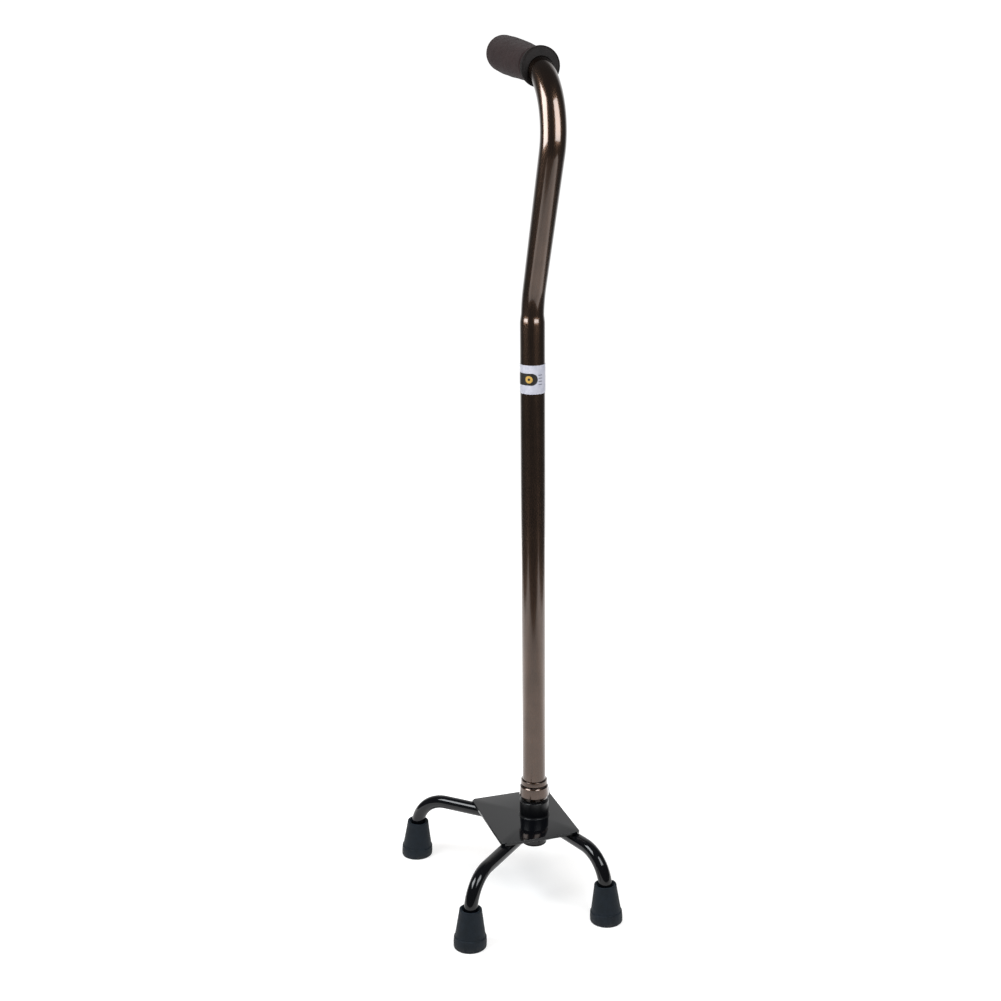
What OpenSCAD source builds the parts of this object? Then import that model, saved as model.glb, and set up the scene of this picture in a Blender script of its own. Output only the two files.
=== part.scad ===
// Quad walking cane: a swan-neck handle tube that telescopes over an inner tube
// standing on a small plate with four bent legs and rubber tips.
// All lengths are in millimetres and all angles in degrees. +Z is up, +X is the way
// the neck bows, and the grip runs back along -X. +Y is the side that walks next to
// the user's leg (inner side), where the legs are short. The origin is on the floor,
// midway between the four tips. The cane is modelled at its lowest height.

/* [Tubes] */
// Outside diameter of the handle tube
tube_od = 22.2; // [22:0.1:23]
// Wall thickness of the handle tube and of the inner tube
tube_wall = 1.6; // [1.4:0.1:1.7]
// Radial running gap between the two tubes
slide_gap = 0.09; // [0.05:0.01:0.1]
// Height of the lower end of the handle tube
tube_bottom = 98; // [98:0.5:100]
// Height of the upper end of the inner tube
inner_top = 330; // [320:1:360]

/* [Neck] */
// Height where the shaft line meets the leaning neck line
neck_z = 568; // [540:1:600]
// Lean of the neck away from the shaft
neck_lean = 21; // [15:0.5:24]
// Radius of the lower neck bend
lower_bend = 90; // [70:1:110]
// Radius of the upper neck bend
upper_bend = 52; // [46:1:56]
// How far the neck bows in front of the shaft
neck_bow = 55; // [50:1:60]
// Outside diameter of the neck just above the lower bend, where it is drawn in
neck_od = 20.8; // [20.4:0.1:22]
// Length of the tube over which the diameter is drawn in
neck_taper = 24; // [16:1:30]

/* [Grip] */
// Rise of the grip towards its free end
grip_rise = 4.9; // [0:0.1:8]
// Length of the straight tube inside the grip
grip_tube = 84; // [80:1:95]
// Greatest diameter of the foam grip
grip_od = 34; // [32:0.5:36]
// Length of the foam grip from the flange to its rounded end
grip_len = 112; // [108:1:116]
// Diameter of the flange at the neck end of the grip
flange_od = 35.4; // [33:0.2:38]
// Thickness of the flange
flange_t = 5; // [4:0.5:6]

/* [Height setting] */
// Height of the snap button
button_z = 300; // [295:1:305]
// Spacing of the height holes
hole_pitch = 25.4; // [25:0.1:25.4]
// Number of height holes
hole_count = 7; // [5:1:7]
// Diameter of the height holes in the handle tube
hole_d = 7; // [6.8:0.1:7.4]
// Diameter of the snap button
button_d = 6.2; // [6:0.1:6.4]
// How far the button stands out of the handle tube
button_proud = 1.8; // [1:0.1:2]

/* [Base plate] */
// Length of the plate along the walking direction
plate_x = 98; // [94:1:100]
// Width of the plate
plate_y = 77.6; // [76:0.2:80]
// Thickness of the plate
plate_t = 3; // [2.5:0.5:3]
// Height of the plate's upper face
plate_top = 73; // [72:0.5:75]
// Corner cut of the plate
plate_cut = 3; // [2:0.5:5]
// Place of the plate's middle across the cane
plate_mid_y = 17.15; // [16:0.05:18]
// Place of the shaft across the cane
shaft_y = 26.75; // [26:0.05:28]

/* [Legs and tips] */
// Outside diameter of a leg tube
leg_od = 12.7; // [12:0.1:13]
// Wall thickness of a leg tube
leg_wall = 1.5; // [1.2:0.1:2]
// Radius of the bend above each tip
leg_bend = 32; // [28:1:33]
// Splay of each leg's end and tip from the vertical
leg_splay = 3; // [0:0.5:4]
// Half of the tip spacing along the walking direction, outer side
outer_foot_x = 92; // [88:1:96]
// Half of the tip spacing along the walking direction, inner side
inner_foot_x = 90; // [86:1:94]
// Half of the tip spacing across the cane
foot_y = 66.75; // [64:0.25:70]
// Plan angle of the outer legs from the walking direction
outer_heading = 46; // [43:0.5:48]
// Plan angle of the inner legs from the walking direction
inner_heading = 17.5; // [15:0.5:20]
// Diameter of a tip at the floor
tip_od = 30.4; // [29:0.2:32]
// Height of a tip
tip_h = 37; // [36:0.5:38]

/* [Hidden] */
$fn = 96;

bronze = [0.42, 0.37, 0.33];
gloss_black = [0.10, 0.10, 0.11];
tip_grey = [0.17, 0.19, 0.20];
foam_brown = [0.27, 0.23, 0.22];
steel = [0.72, 0.72, 0.74];
nylon = [0.86, 0.85, 0.80];
label_white = [0.90, 0.90, 0.93];

// Overshoot of a cutting solid beyond the face it cuts
over = 1;

// Bands where straight runs and bends of a tube meet
band_half = 0.3;
band_gap = 0.15;
band_swell = 0.03;

// Handle tube
tube_r = tube_od / 2;
bore_r = tube_r - tube_wall;
neck_r = neck_od / 2;
lower_rise = lower_bend * tan(neck_lean / 2);
lower_start = neck_z - lower_rise;
upper_start_x = neck_bow - upper_bend * (1 - cos(neck_lean));
neck_run = upper_start_x / sin(neck_lean) - lower_rise;
upper_turn = neck_lean + 90 - grip_rise;

// Inner tube and its top bush
inner_r = bore_r - slide_gap;
inner_bore_r = inner_r - tube_wall;
inner_bottom = 46;
bush_top_t = 3;
bush_plug = 12;
bush_hole_r = 4;

// Collar at the lower end of the handle tube
ring_top = 110.5;
ring_low = 104.6;
ring_top_r = 12.3;
ring_low_r = 12.9;
ring_edge = 0.9;
ring_chamfer = 0.5;
thread_r = 12.1;
nut_top = 104.2;
nut_bottom = 91;
nut_top_r = 13.25;
nut_low_r = 14.2;
nut_edge = 0.8;
nut_gap = 0.1;
nut_lip = 1.6;
nut_lip_r = 9.9;
collet_r = 11.6;
collet_bottom = 93;
collet_top = 97.8;
collet_gap = 0.05;
collet_edge = 0.8;
collet_slit = 1.2;

// Label
label_bottom = 489;
label_h = 26;
label_gap = 0.05;
label_t = 0.25;
label_slit = 1;

// Grip
plug_flange_t = 2;
plug_len = 10;
plug_gap = 0.05;
foam_gap = 0.1;
flange_front = 17;
flange_gap = 0.3;
flange_edge = 1.2;
foam_start = -flange_front + flange_t + flange_gap;
foam_nose_r = grip_od / 2 - 1.6;
// Half outline of the foam up to its nose, as [radius, distance from its flange end]
foam_profile = [
    [13.4, 0], [13.4, 6], [14.6, 9], [15.2, 11], [15.9, 22], [grip_od / 2 - 0.5, 42],
    [grip_od / 2, 70], [grip_od / 2, 78], [grip_od / 2 - 0.4, 86]
];

// Snap button and spring
button_r = button_d / 2;
button_edge = 1;
button_fit = 0.2;
button_head_r = 4.2;
button_head_t = 1;
button_head_x = 6.4;
spring_t = 0.7;
spring_w = 6;
spring_len = 36;
spring_flat = 8;
spring_tip = 4;
spring_bend_r = 3;
spring_gap = 0.35;
spring_back_x = 6.9;

// Base
plate_low = plate_top - plate_t;
socket_r = 11.7;
socket_bottom = 45;
socket_top = 86;
socket_fit = 0.05;
boss_r = 13.9;
boss_top = 89;
boss_edge = 1.2;
weld_size = 1.8;
weld_hollow = 0.45;
cap_flange_t = 1.5;
cap_plug_r = inner_bore_r - 0.05;
cap_plug_top = 47.8;
rivet_z = 52;
rivet_r = 2.2;
rivet_fit = 0.05;
rivet_head_r = 3.6;
rivet_head_t = 1.8;
rivet_brim_r = 2.9;
rivet_brim_t = 1.25;
rivet_crown_r = 1.6;

// Legs
leg_r = leg_od / 2;
leg_axis_z = plate_low - leg_r;
leg_seat = 10;
outer_root = 15.5;
inner_root_x = 12;
leg_weld_r = 2;
leg_weld_len = 20;
leg_weld_inset = 2;
leg_weld_side = 5.2;

// Tips
tip_r = tip_od / 2;
tip_band_h = 10.5;
tip_step = 0.7;
tip_draft = 0.2;
tip_mouth_r = 10.4;
tip_lip_r = 1.9;
tip_mouth_gap = 1.3;
tip_foot_edge = 1.6;
tip_sunk = 1.2;
washer_t = 1.2;
washer_gap = 0.1;
washer_hole_r = 2;
groove_w = 1.2;
groove_depth = 1.3;
groove_radii = [4.5, 8, 11.5];

// ---------------------------------------------------------------- shared shapes

// Straight rod up +Z from the origin, from radius r1 to r2. Each end is drawn back
// by its trim, and a negative trim makes that end longer
module run(len, r1, r2, trim1, trim2) {
    translate([0, 0, trim1])
        cylinder(h = len - trim1 - trim2, r1 = r1, r2 = r2);
}

// Hair-thin band that carries a rod across the joint between a run and a bend
module joint_band(r) {
    translate([0, 0, -band_half])
        cylinder(h = 2 * band_half, r = r + band_swell);
}

// Bent rod that starts at the origin going up +Z and turns towards +X
module bend(radius, angle, r) {
    translate([radius, 0, 0])
        rotate([90, 0, 180])
            rotate_extrude(angle = angle)
                translate([radius, 0])
                    circle(r = r);
}

// Moves its children to the far end of such a bend, facing along the rod
module after_bend(radius, angle) {
    translate([radius * (1 - cos(angle)), 0, radius * sin(angle)])
        rotate([0, angle, 0])
            children();
}

// Ring about Z between two heights
module ring(z1, z2, r_out, r_in) {
    translate([0, 0, z1])
        difference() {
            cylinder(h = z2 - z1, r = r_out);
            translate([0, 0, -over])
                cylinder(h = z2 - z1 + 2 * over, r = r_in);
        }
}

// Solid turned about Z from a half outline of [radius, height] points
module turned(points) {
    rotate_extrude()
        polygon(points);
}

module on_shaft() {
    translate([0, shaft_y, 0])
        children();
}

// ---------------------------------------------------------------- handle

// Whole path of the handle tube as a solid rod, thinner than the tube by inset and
// longer at both ends by extra
module handle_rod(inset, extra) {
    r = tube_r - inset;
    rn = neck_r - inset;
    turned([
        [0, tube_bottom - extra], [r, tube_bottom - extra], [r, lower_start - neck_taper],
        [rn, lower_start - band_gap], [0, lower_start - band_gap]
    ]);
    translate([0, 0, lower_start]) {
        joint_band(rn);
        bend(lower_bend, neck_lean, rn);
        after_bend(lower_bend, neck_lean) {
            joint_band(rn);
            run(neck_run, rn, r, band_gap, band_gap);
            translate([0, 0, neck_run])
                rotate([0, 0, 180]) {
                    joint_band(r);
                    bend(upper_bend, upper_turn, r);
                    after_bend(upper_bend, upper_turn) {
                        joint_band(r);
                        run(grip_tube, r, r, band_gap, -extra);
                    }
                }
        }
    }
}

// Moves its children to the start of the straight grip, with +Z along the grip
// towards its free end
module at_grip() {
    translate([0, 0, lower_start])
        after_bend(lower_bend, neck_lean)
            translate([0, 0, neck_run])
                rotate([0, 0, 180])
                    after_bend(upper_bend, upper_turn)
                        children();
}

module handle_tube() {
    color(bronze)
        on_shaft()
            difference() {
                handle_rod(0, 0);
                handle_rod(tube_wall, over);
                for (i = [0 : hole_count - 1])
                    translate([0, 0, button_z - i * hole_pitch])
                        rotate([0, -90, 0])
                            cylinder(h = tube_r + over, r = hole_d / 2);
            }
}

module tube_end_plug() {
    color(gloss_black)
        on_shaft()
            at_grip()
                translate([0, 0, grip_tube]) {
                    cylinder(h = plug_flange_t, r = tube_r);
                    translate([0, 0, -plug_len])
                        cylinder(h = plug_len, r = bore_r - plug_gap);
                }
}

// Half outline of the foam, straight from the flange end to the rounded free end
module foam_outline() {
    nose = grip_len - foam_nose_r;
    translate([0, foam_start])
        intersection() {
            union() {
                polygon(concat([[0, 0]], foam_profile, [[foam_nose_r, nose], [0, nose]]));
                translate([0, nose])
                    circle(r = foam_nose_r);
            }
            square([grip_od, grip_len + over]);
        }
}

module foam_grip() {
    color(foam_brown)
        on_shaft()
            difference() {
                at_grip()
                    rotate_extrude()
                        foam_outline();
                handle_rod(-foam_gap, plug_flange_t + foam_gap);
            }
}

module grip_flange() {
    color(gloss_black)
        on_shaft()
            difference() {
                at_grip()
                    translate([0, 0, -flange_front])
                        turned([
                            [0, 0], [flange_od / 2 - flange_edge, 0], [flange_od / 2, flange_edge],
                            [flange_od / 2, flange_t - flange_edge], [flange_od / 2 - flange_edge, flange_t],
                            [0, flange_t]
                        ]);
                handle_rod(-foam_gap, 0);
            }
}

module label_band() {
    color(label_white)
        on_shaft()
            difference() {
                ring(label_bottom, label_bottom + label_h, tube_r + label_gap + label_t, tube_r + label_gap);
                translate([-tube_r - over, -label_slit / 2, label_bottom - over])
                    cube([2 * over, label_slit, label_h + 2 * over]);
            }
}

// Ring pressed on the tube, with the threaded sleeve that the nut screws on
module collar_ring() {
    color(bronze)
        on_shaft()
            turned([
                [tube_r, tube_bottom], [thread_r, tube_bottom], [thread_r, ring_low],
                [ring_low_r - ring_edge, ring_low], [ring_low_r, ring_low + ring_edge],
                [ring_top_r, ring_top - ring_chamfer], [ring_top_r - ring_chamfer, ring_top],
                [tube_r, ring_top]
            ]);
}

// Split nylon ring that the nut squeezes on the inner tube
module collet() {
    color(nylon)
        on_shaft()
            difference() {
                turned([
                    [inner_r + collet_gap, collet_bottom], [collet_r - collet_edge, collet_bottom],
                    [collet_r, collet_bottom + collet_edge], [collet_r, collet_top],
                    [inner_r + collet_gap, collet_top]
                ]);
                translate([0, -collet_slit / 2, collet_bottom - over])
                    cube([tube_od, collet_slit, collet_top - collet_bottom + 2 * over]);
            }
}

module lock_nut() {
    color(bronze)
        on_shaft()
            turned([
                [nut_lip_r, nut_bottom], [nut_low_r - nut_edge, nut_bottom],
                [nut_low_r, nut_bottom + nut_edge], [nut_top_r, nut_top - nut_edge],
                [nut_top_r - nut_edge / 2, nut_top],
                [thread_r + nut_gap, nut_top], [thread_r + nut_gap, nut_bottom + nut_lip],
                [nut_lip_r, nut_bottom + nut_lip]
            ]);
}

// ---------------------------------------------------------------- inner tube

module inner_tube() {
    color(steel)
        on_shaft()
            difference() {
                ring(inner_bottom, inner_top, inner_r, inner_bore_r);
                translate([0, 0, button_z])
                    rotate([0, -90, 0])
                        cylinder(h = tube_r + over, r = button_r + button_fit);
                translate([0, 0, rivet_z])
                    rotate([90, 0, 0])
                        cylinder(h = 2 * tube_od, r = rivet_r + rivet_fit, center = true);
            }
}

// Nylon cap that guides the top of the inner tube
module glide_bush() {
    color(nylon)
        on_shaft() {
            ring(inner_top, inner_top + bush_top_t, inner_r, bush_hole_r);
            ring(inner_top - bush_plug, inner_top, inner_bore_r - collet_gap, bush_hole_r);
        }
}

module snap_button() {
    length = tube_r + button_proud - button_head_x;
    color(steel)
        on_shaft()
            translate([0, 0, button_z])
                rotate([0, -90, 0]) {
                    translate([0, 0, button_head_x - button_head_t])
                        cylinder(h = button_head_t, r = button_head_r);
                    translate([0, 0, button_head_x])
                        turned([
                            [0, 0], [button_r, 0], [button_r, length - button_edge],
                            [button_r - button_edge, length], [0, length]
                        ]);
                }
}

// Hairpin leaf spring inside the inner tube, open towards the top
module button_spring() {
    front = button_head_t + spring_gap - button_head_x;
    foot_z = button_z - spring_len;
    corner = spring_bend_r * cos(45);
    neck = button_z - spring_flat;
    tip = button_z + spring_tip;
    color(steel)
        on_shaft()
            translate([0, spring_w / 2, 0])
                rotate([90, 0, 0])
                    linear_extrude(height = spring_w)
                        polygon([
                            [front, tip], [front, neck], [-spring_bend_r, foot_z],
                            [-corner, foot_z - corner], [0, foot_z - spring_bend_r],
                            [corner, foot_z - corner], [spring_bend_r, foot_z],
                            [spring_back_x, neck], [spring_back_x, tip],
                            [spring_back_x - spring_t, tip], [spring_back_x - spring_t, neck],
                            [spring_bend_r - spring_t, foot_z], [0, foot_z - spring_bend_r + spring_t],
                            [spring_t - spring_bend_r, foot_z], [front + spring_t, neck],
                            [front + spring_t, tip]
                        ]);
}

// ---------------------------------------------------------------- base

module plate_outline() {
    x = plate_x / 2;
    y = plate_y / 2;
    polygon([
        [x - plate_cut, -y], [x, -y + plate_cut], [x, y - plate_cut], [x - plate_cut, y],
        [-x + plate_cut, y], [-x, y - plate_cut], [-x, -y + plate_cut], [-x + plate_cut, -y]
    ]);
}

module base_plate() {
    color(gloss_black)
        difference() {
            translate([0, plate_mid_y, plate_low])
                linear_extrude(height = plate_t)
                    plate_outline();
            on_shaft()
                translate([0, 0, plate_low - over])
                    cylinder(h = plate_t + 2 * over, r = socket_r);
        }
}

module base_socket() {
    color(gloss_black)
        on_shaft()
            difference() {
                ring(socket_bottom, socket_top, socket_r, inner_r + socket_fit);
                translate([0, 0, rivet_z])
                    rotate([90, 0, 0])
                        cylinder(h = 2 * tube_od, r = rivet_r + rivet_fit, center = true);
            }
}

module socket_boss() {
    color(gloss_black)
        on_shaft()
            turned([
                [socket_r, plate_top], [boss_r, plate_top], [boss_r, boss_top - boss_edge],
                [boss_r - boss_edge, boss_top], [inner_r + socket_fit, boss_top],
                [inner_r + socket_fit, socket_top], [socket_r, socket_top]
            ]);
}

module socket_weld() {
    color(gloss_black)
        on_shaft()
            turned([
                [boss_r, plate_top], [boss_r + weld_size, plate_top],
                [boss_r + weld_size * weld_hollow, plate_top + weld_size * weld_hollow],
                [boss_r, plate_top + weld_size]
            ]);
}

module socket_cap() {
    color(gloss_black)
        on_shaft() {
            translate([0, 0, socket_bottom - cap_flange_t])
                cylinder(h = cap_flange_t, r = socket_r);
            translate([0, 0, socket_bottom])
                cylinder(h = inner_bottom - socket_bottom, r = inner_r - socket_fit);
            translate([0, 0, inner_bottom])
                cylinder(h = cap_plug_top - inner_bottom, r = cap_plug_r);
        }
}

module socket_rivet() {
    color(steel)
        on_shaft()
            translate([0, 0, rivet_z])
                rotate([90, 0, 0]) {
                    cylinder(h = 2 * socket_r, r = rivet_r, center = true);
                    for (side = [0, 180])
                        rotate([side, 0, 0])
                            translate([0, 0, socket_r])
                                turned([
                                    [0, 0], [rivet_head_r, 0], [rivet_brim_r, rivet_brim_t],
                                    [rivet_crown_r, rivet_head_t], [0, rivet_head_t]
                                ]);
                }
}

// ---------------------------------------------------------------- legs and tips

leg_gain = leg_bend * (1 - sin(leg_splay));
leg_rise = (leg_axis_z - leg_gain) / cos(leg_splay);
leg_reach = leg_bend * cos(leg_splay) + leg_rise * sin(leg_splay);
shaft_to_foot_y = foot_y + shaft_y;
outer_span = norm([outer_foot_x, shaft_to_foot_y]) - outer_root - leg_reach;
inner_span = (inner_foot_x - inner_root_x) / cos(inner_heading) - leg_reach;

// Places children at a foot: origin on the floor under the tip, +X outwards.
// end is 1 at the front and -1 at the rear
module at_outer_foot(end) {
    mirror([end < 0 ? 1 : 0, 0, 0])
        translate([outer_foot_x, -foot_y, 0])
            rotate([0, 0, -outer_heading])
                children();
}

module at_inner_foot(end) {
    mirror([end < 0 ? 1 : 0, 0, 0])
        translate([inner_foot_x, foot_y, 0])
            rotate([0, 0, inner_heading])
                children();
}

// Path of a leg as a solid rod, from its seat in the tip to its root under the
// plate, thinner than the leg by inset and longer at both ends by extra
module leg_rod(span, inset, extra) {
    r = leg_r - inset;
    rotate([0, -leg_splay, 0]) {
        translate([0, 0, leg_seat])
            run(leg_rise - leg_seat, r, r, -extra, band_gap);
        translate([0, 0, leg_rise])
            rotate([0, 0, 180]) {
                joint_band(r);
                bend(leg_bend, 90 - leg_splay, r);
                after_bend(leg_bend, 90 - leg_splay) {
                    joint_band(r);
                    run(span, r, r, band_gap, -extra);
                }
            }
    }
}

module leg(span) {
    color(gloss_black)
        difference() {
            leg_rod(span, 0, 0);
            leg_rod(span, leg_wall, over);
        }
}

// Bead along each side of a leg, under the plate
module leg_weld_pair(span) {
    start = leg_reach + span - leg_weld_len - leg_weld_inset;
    color(gloss_black)
        difference() {
            for (side = [-1, 1])
                translate([-start, side * leg_weld_side, plate_low - leg_weld_r / 2])
                    rotate([0, -90, 0])
                        cylinder(h = leg_weld_len, r = leg_weld_r);
            leg_rod(span, 0, over);
            translate([-2 * plate_x, -tube_od, plate_low])
                cube([2 * plate_x, 2 * tube_od, plate_t + leg_weld_r]);
        }
}

// Half outline of a tip, from tip_sunk below the floor to its rounded lip
module tip_outline() {
    cone_top = tip_h - tip_lip_r;
    polygon([
        [0, -tip_sunk], [tip_r - tip_foot_edge, -tip_sunk], [tip_r, -tip_sunk + tip_foot_edge],
        [tip_r - tip_draft, tip_band_h - tip_step], [tip_r - tip_draft - tip_step, tip_band_h],
        [tip_mouth_r, cone_top], [tip_mouth_r - tip_lip_r, cone_top], [0, cone_top]
    ]);
    translate([tip_mouth_r - tip_lip_r, cone_top])
        circle(r = tip_lip_r);
}

module tip() {
    color(tip_grey)
        difference() {
            rotate([0, -leg_splay, 0])
                difference() {
                    rotate_extrude()
                        tip_outline();
                    translate([0, 0, leg_seat - washer_t])
                        cylinder(h = tip_h, r = leg_r);
                    translate([0, 0, tip_h - tip_lip_r * 2])
                        cylinder(h = tip_lip_r * 2 + over, r1 = leg_r, r2 = leg_r + tip_mouth_gap);
                }
            translate([-tip_od, -tip_od, -tip_h])
                cube([2 * tip_od, 2 * tip_od, tip_h]);
            for (r = groove_radii)
                ring(-over, groove_depth, r + groove_w / 2, r - groove_w / 2);
        }
}

module tip_washer() {
    color(steel)
        rotate([0, -leg_splay, 0])
            ring(leg_seat - washer_t, leg_seat, leg_r - washer_gap, washer_hole_r);
}

module leg_front_outer() {
    at_outer_foot(1)
        leg(outer_span);
}

module leg_front_inner() {
    at_inner_foot(1)
        leg(inner_span);
}

module leg_rear_outer() {
    at_outer_foot(-1)
        leg(outer_span);
}

module leg_rear_inner() {
    at_inner_foot(-1)
        leg(inner_span);
}

module leg_welds() {
    for (end = [-1, 1]) {
        at_outer_foot(end)
            leg_weld_pair(outer_span);
        at_inner_foot(end)
            leg_weld_pair(inner_span);
    }
}

module tip_front_outer() {
    at_outer_foot(1)
        tip();
}

module tip_front_inner() {
    at_inner_foot(1)
        tip();
}

module tip_rear_outer() {
    at_outer_foot(-1)
        tip();
}

module tip_rear_inner() {
    at_inner_foot(-1)
        tip();
}

module tip_washers() {
    for (end = [-1, 1]) {
        at_outer_foot(end)
            tip_washer();
        at_inner_foot(end)
            tip_washer();
    }
}

handle_tube();
tube_end_plug();
foam_grip();
grip_flange();
label_band();
collar_ring();
collet();
lock_nut();
inner_tube();
glide_bush();
snap_button();
button_spring();
base_plate();
base_socket();
socket_boss();
socket_weld();
socket_cap();
socket_rivet();
leg_front_outer();
leg_front_inner();
leg_rear_outer();
leg_rear_inner();
leg_welds();
tip_front_outer();
tip_front_inner();
tip_rear_outer();
tip_rear_inner();
tip_washers();
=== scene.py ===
import math

import bmesh
import bpy
from mathutils import Matrix, Vector, noise


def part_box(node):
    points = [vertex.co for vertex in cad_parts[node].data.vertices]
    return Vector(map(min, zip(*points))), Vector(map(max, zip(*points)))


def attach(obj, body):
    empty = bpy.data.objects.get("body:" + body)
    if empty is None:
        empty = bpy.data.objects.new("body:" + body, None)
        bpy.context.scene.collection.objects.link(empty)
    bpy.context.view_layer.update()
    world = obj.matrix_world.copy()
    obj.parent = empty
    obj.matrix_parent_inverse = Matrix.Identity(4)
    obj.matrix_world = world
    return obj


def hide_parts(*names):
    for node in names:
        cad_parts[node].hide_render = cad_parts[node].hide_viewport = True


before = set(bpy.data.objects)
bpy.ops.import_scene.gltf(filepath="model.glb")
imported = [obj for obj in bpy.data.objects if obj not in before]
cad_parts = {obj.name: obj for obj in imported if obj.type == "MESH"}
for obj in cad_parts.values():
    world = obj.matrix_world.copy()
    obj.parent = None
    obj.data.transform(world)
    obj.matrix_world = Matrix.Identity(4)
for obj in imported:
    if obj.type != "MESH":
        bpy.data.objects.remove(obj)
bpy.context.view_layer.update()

# Lengths below are in millimetres and angles in degrees. Meshes are written in metres.
MM = 0.001
SEGMENTS = 96

scene = bpy.context.scene


def node_box(node):
    """Lowest and highest corner of a CAD node, in millimetres."""
    low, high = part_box(node)
    return low / MM, high / MM


# ------------------------------------------------------------------ sizes from the frame

tube_low, tube_high = node_box("handle_tube")
inner_low, inner_high = node_box("inner_tube")
plate_low, plate_high = node_box("base_plate")
socket_low, socket_high = node_box("base_socket")
boss_low, boss_high = node_box("socket_boss")
ring_low, ring_high = node_box("collar_ring")
nut_low, nut_high = node_box("lock_nut")
label_low, label_high = node_box("label_band")
button_low, button_high = node_box("snap_button")

SHAFT = (inner_low + inner_high) / 2
SHAFT_Y = SHAFT.y
TUBE_R = tube_high.y - SHAFT_Y
WALL = 1.6
INNER_R = inner_high.y - SHAFT_Y
SOCKET_R = socket_high.y - SHAFT_Y
BOSS_R = boss_high.y - SHAFT_Y
NUT_R = nut_high.y - SHAFT_Y
RING_R = ring_high.y - SHAFT_Y

# Neck and grip of the handle tube
NECK_Z = 568
NECK_LEAN = 21
LOWER_BEND = 90
UPPER_BEND = 52
NECK_BOW = 55
NECK_R = 10.25
SWAGE = 10
SWAGE_LEAD = 0.5
GRIP_RISE = 4.9
GRIP_TUBE = 84
LOWER_RISE = LOWER_BEND * math.tan(math.radians(NECK_LEAN / 2))
LOWER_START = NECK_Z - LOWER_RISE
UPPER_START_X = NECK_BOW - UPPER_BEND * (1 - math.cos(math.radians(NECK_LEAN)))
NECK_RUN = UPPER_START_X / math.sin(math.radians(NECK_LEAN)) - LOWER_RISE
UPPER_TURN = NECK_LEAN + 90 - GRIP_RISE

# Height holes, on the rear side of the handle tube
HOLE_R = 3.5
HOLE_PITCH = 25.4
HOLE_COUNT = 7
BUTTON_HOLE_R = 3.3
BUTTON_Z = (button_low.z + button_high.z) / 2

# Foam grip and flange, measured along the grip from the end of the upper bend
FLANGE_FRONT = 17
FLANGE_T = 5
FLANGE_R = 17.3
FOAM_START = -FLANGE_FRONT + FLANGE_T + 0.3
FOAM_LEN = 110
FOAM_R = 16.6
FOAM_GAP = 0.15
FOAM_BACKED = 2.2
BORE_NEAR = 0.3
BORE_FAR = 1.6
# Points of the foam's outline: radius, distance from its start, and fillet
FOAM_LINE = [
    (13.3, 0, 1.2), (13.3, 8, 3), (14.6, 11, 2), (15.3, 28, 12), (16.2, 54, 14), (FOAM_R, 76, 10),
]

# Legs and tips
LEG_R = 6.35
LEG_WALL = 1.5
LEG_BEND = 32
LEG_SPLAY = 3
LEG_SEAT = 10
FEET = {
    "front_outer": (92, -66.75, -46, 1),
    "front_inner": (90, 66.75, 17.5, 1),
    "rear_outer": (-92, -66.75, -46, -1),
    "rear_inner": (-90, 66.75, 17.5, -1),
}
TIP_R = 15.2
TIP_H = 37
TIP_BORE = 6.4
TIP_FLAT = 9
PLATE_CUT = 3
PLATE_EDGE = 0.4

# The label's mark: its angle about the shaft from +X, its height over the middle, and its soft edge
LABEL_MARK_ANGLE = -36
LABEL_MARK_RISE = 0.4
LABEL_BLUR = 0.12
# Its film: both faces over the tube, and half the gap between its ends, as an angle
LABEL_INNER = 0.05
LABEL_OUTER = 0.3
LABEL_SLIT = 2.6

# Weld bead round the boss: width, depth of its laps as a share of the radius, and half their number
BEAD_W = 1.5
BEAD_LAP = 0.012
BEAD_LAPS = 14


# ------------------------------------------------------------------ mesh tools


def skin(name, rows, wrap, skipped=(), walls=()):
    """A closed surface through rows of points, each row a ring, or a single point at a pole.

    With wrap, the last row joins the first. Faces in skipped are left out, and walls are extra faces,
    each given as (row, column) corners. UVs run round the ring and along the rows.
    """
    mesh = bpy.data.meshes.new(name)
    bm = bmesh.new()
    uv = bm.loops.layers.uv.new("UVMap")
    grid = [[bm.verts.new(Vector(p) * MM) for p in row] for row in rows]
    lengths = [0.0]
    for row, after in zip(rows, rows[1:]):
        lengths.append(lengths[-1] + (Vector(after[0]) - Vector(row[0])).length)
    pairs = list(zip(range(len(rows)), range(1, len(rows))))
    if wrap:
        pairs.append((len(rows) - 1, 0))
    for i, k in pairs:
        low, high = grid[i], grid[k]
        count = max(len(low), len(high))
        for j in range(count):
            if (i, j) in skipped or count == 1:
                continue
            after = (j + 1) % count
            corners = [(low, j, j, i), (low, after, j + 1, i), (high, after, j + 1, k), (high, j, j, k)]
            if len(low) == 1:
                corners = corners[1:]
            if len(high) == 1:
                corners = corners[:3]
            verts = [ring[0] if len(ring) == 1 else ring[n] for ring, n, _, _ in corners]
            face = bm.faces.new(verts)
            for loop, (_, _, u, row) in zip(face.loops, corners):
                loop[uv].uv = (u / count, lengths[row] * MM)
    for corners in walls:
        bm.faces.new([grid[row][column] for row, column in corners])
    bmesh.ops.delete(bm, geom=[v for v in bm.verts if not v.link_faces], context="VERTS")
    bmesh.ops.recalc_face_normals(bm, faces=bm.faces)
    bm.to_mesh(mesh)
    bm.free()
    return shown(name, mesh)


def shown(name, mesh, sharp=38):
    mesh.shade_smooth()
    mesh.set_sharp_from_angle(angle=math.radians(sharp))
    obj = bpy.data.objects.new(name, mesh)
    scene.collection.objects.link(obj)
    return obj


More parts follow.
